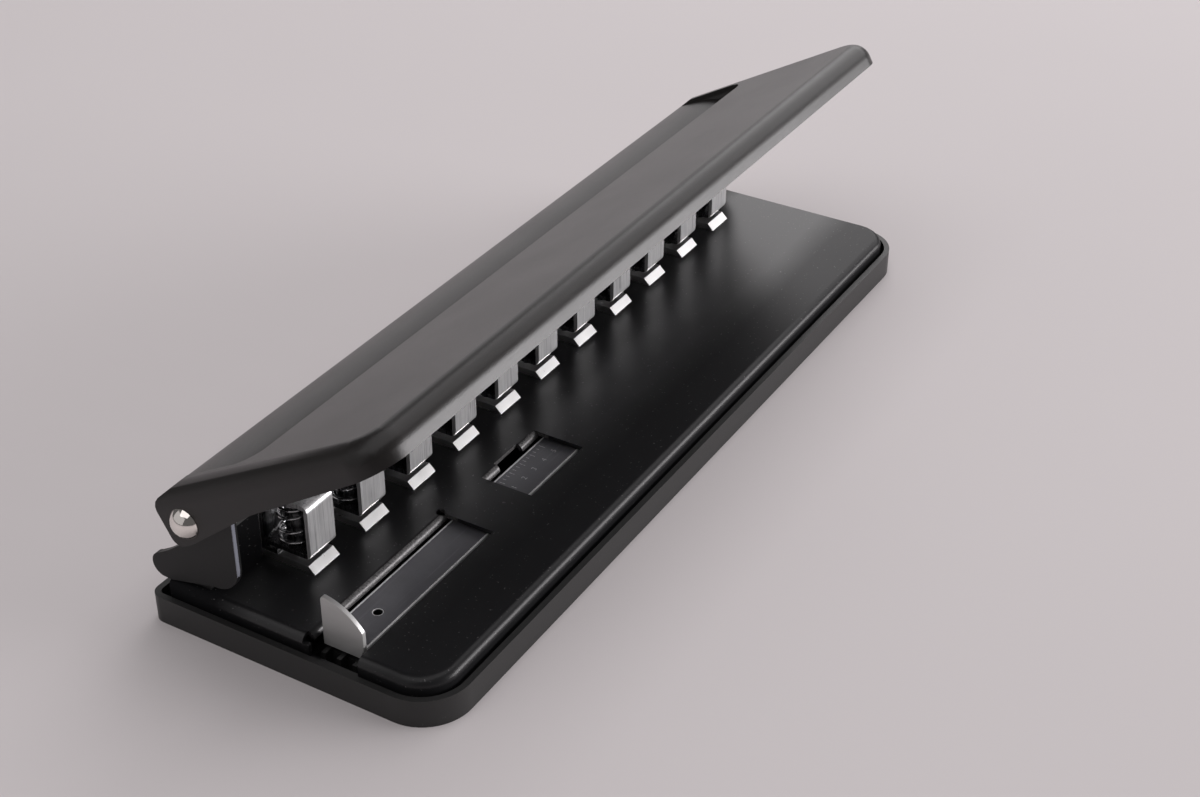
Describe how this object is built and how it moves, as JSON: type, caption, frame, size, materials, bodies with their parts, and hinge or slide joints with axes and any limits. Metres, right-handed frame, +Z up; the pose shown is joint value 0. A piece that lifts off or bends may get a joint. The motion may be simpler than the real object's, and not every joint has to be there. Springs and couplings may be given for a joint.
{
  "type": "disc binding punch",
  "caption": "Long desk punch that cuts a row of mushroom-shaped notches in a sheet's edge for disc binding, with one sprung handle over all the punches and a sliding edge stop.",
  "frame": {"origin": "on the table, under the middle of the base tray", "axes": "+X along the row of punches, with the edge stop at the -X end, +Y to the hinge at the rear, +Z up; the handle stands open, as pictured"},
  "size_m": [0.3258, 0.1061, 0.0907],
  "materials": {
    "tray_plastic": "fine moulded grain, satin black",
    "plate_paint": "black satin powder coat",
    "bracket_paint": "black satin powder coat",
    "handle_paint": "matt charcoal powder coat",
    "gauge_paint": "dark satin paint with bare edges",
    "black_steel": "black oxide",
    "screw_steel": "polished nickel",
    "bright_steel": "ground bright steel",
    "frame_steel": "cold-rolled strip with fine lengthwise grain",
    "zinc_steel": "zinc plated",
    "spring_steel": "dark oiled spring wire",
    "tool_steel": "ground tool steel",
    "spacer_plastic": "natural nylon"
  },
  "bodies": {
    "base": {"base_tray": "tray_plastic", "base_plate": "plate_paint", "hinge_bracket_left": "bracket_paint", "hinge_bracket_right": "bracket_paint", "bracket_screws": "black_steel", "pivot_screws": "screw_steel", "pivot_washers": "spacer_plastic", "pivot_nuts": "zinc_steel", "gauge_guides": "zinc_steel", "unit_rivets": "zinc_steel", "die_block_01": "bright_steel", "guide_frame_01": "frame_steel", "return_spring_01": "spring_steel", "die_block_02": "bright_steel", "guide_frame_02": "frame_steel", "return_spring_02": "spring_steel", "die_block_03": "bright_steel", "guide_frame_03": "frame_steel", "return_spring_03": "spring_steel", "die_block_04": "bright_steel", "guide_frame_04": "frame_steel", "return_spring_04": "spring_steel", "die_block_05": "bright_steel", "guide_frame_05": "frame_steel", "return_spring_05": "spring_steel", "die_block_06": "bright_steel", "guide_frame_06": "frame_steel", "return_spring_06": "spring_steel", "die_block_07": "bright_steel", "guide_frame_07": "frame_steel", "return_spring_07": "spring_steel", "die_block_08": "bright_steel", "guide_frame_08": "frame_steel", "return_spring_08": "spring_steel", "die_block_09": "bright_steel", "guide_frame_09": "frame_steel", "return_spring_09": "spring_steel", "die_block_10": "bright_steel", "guide_frame_10": "frame_steel", "return_spring_10": "spring_steel", "die_block_11": "bright_steel", "guide_frame_11": "frame_steel", "return_spring_11": "spring_steel"},
    "handle": {"handle": "handle_paint", "press_bar": "zinc_steel"},
    "gauge": {"gauge_strip": "gauge_paint", "gauge_stop": "bright_steel"},
    "punch_01": {"punch_pin_01": "tool_steel"},
    "punch_02": {"punch_pin_02": "tool_steel"},
    "punch_03": {"punch_pin_03": "tool_steel"},
    "punch_04": {"punch_pin_04": "tool_steel"},
    "punch_05": {"punch_pin_05": "tool_steel"},
    "punch_06": {"punch_pin_06": "tool_steel"},
    "punch_07": {"punch_pin_07": "tool_steel"},
    "punch_08": {"punch_pin_08": "tool_steel"},
    "punch_09": {"punch_pin_09": "tool_steel"},
    "punch_10": {"punch_pin_10": "tool_steel"},
    "punch_11": {"punch_pin_11": "tool_steel"}
  },
  "joints": [
    {"name": "handle_hinge", "type": "hinge", "parent": "base", "child": "handle", "pos_m": [0, 0.0354, 0.041], "axis": [1, 0, 0], "range_deg": [0, 31.7], "stiffness_Nm_per_rad": 2.5, "springref_deg": -28.65},
    {"name": "gauge_slide", "type": "slide", "parent": "base", "child": "gauge", "axis": [1, 0, 0], "range_m": [0, 0.0254]},
    {"name": "punch_01_slide", "type": "slide", "parent": "base", "child": "punch_01", "axis": [0, 0, -1], "range_m": [0, 0.008], "deforming": ["return_spring_01"]},
    {"name": "punch_02_slide", "type": "slide", "parent": "base", "child": "punch_02", "axis": [0, 0, -1], "range_m": [0, 0.008], "deforming": ["return_spring_02"]},
    {"name": "punch_03_slide", "type": "slide", "parent": "base", "child": "punch_03", "axis": [0, 0, -1], "range_m": [0, 0.008], "deforming": ["return_spring_03"]},
    {"name": "punch_04_slide", "type": "slide", "parent": "base", "child": "punch_04", "axis": [0, 0, -1], "range_m": [0, 0.008], "deforming": ["return_spring_04"]},
    {"name": "punch_05_slide", "type": "slide", "parent": "base", "child": "punch_05", "axis": [0, 0, -1], "range_m": [0, 0.008], "deforming": ["return_spring_05"]},
    {"name": "punch_06_slide", "type": "slide", "parent": "base", "child": "punch_06", "axis": [0, 0, -1], "range_m": [0, 0.008], "deforming": ["return_spring_06"]},
    {"name": "punch_07_slide", "type": "slide", "parent": "base", "child": "punch_07", "axis": [0, 0, -1], "range_m": [0, 0.008], "deforming": ["return_spring_07"]},
    {"name": "punch_08_slide", "type": "slide", "parent": "base", "child": "punch_08", "axis": [0, 0, -1], "range_m": [0, 0.008], "deforming": ["return_spring_08"]},
    {"name": "punch_09_slide", "type": "slide", "parent": "base", "child": "punch_09", "axis": [0, 0, -1], "range_m": [0, 0.008], "deforming": ["return_spring_09"]},
    {"name": "punch_10_slide", "type": "slide", "parent": "base", "child": "punch_10", "axis": [0, 0, -1], "range_m": [0, 0.008], "deforming": ["return_spring_10"]},
    {"name": "punch_11_slide", "type": "slide", "parent": "base", "child": "punch_11", "axis": [0, 0, -1], "range_m": [0, 0.008], "deforming": ["return_spring_11"]}
  ],
  "couplings": [
    {"joint": "punch_01_slide", "follows": "handle_hinge", "m_per_rad": 0.01445},
    {"joint": "punch_02_slide", "follows": "handle_hinge", "m_per_rad": 0.01445},
    {"joint": "punch_03_slide", "follows": "handle_hinge", "m_per_rad": 0.01445},
    {"joint": "punch_04_slide", "follows": "handle_hinge", "m_per_rad": 0.01445},
    {"joint": "punch_05_slide", "follows": "handle_hinge", "m_per_rad": 0.01445},
    {"joint": "punch_06_slide", "follows": "handle_hinge", "m_per_rad": 0.01445},
    {"joint": "punch_07_slide", "follows": "handle_hinge", "m_per_rad": 0.01445},
    {"joint": "punch_08_slide", "follows": "handle_hinge", "m_per_rad": 0.01445},
    {"joint": "punch_09_slide", "follows": "handle_hinge", "m_per_rad": 0.01445},
    {"joint": "punch_10_slide", "follows": "handle_hinge", "m_per_rad": 0.01445},
    {"joint": "punch_11_slide", "follows": "handle_hinge", "m_per_rad": 0.01445}
  ]
}
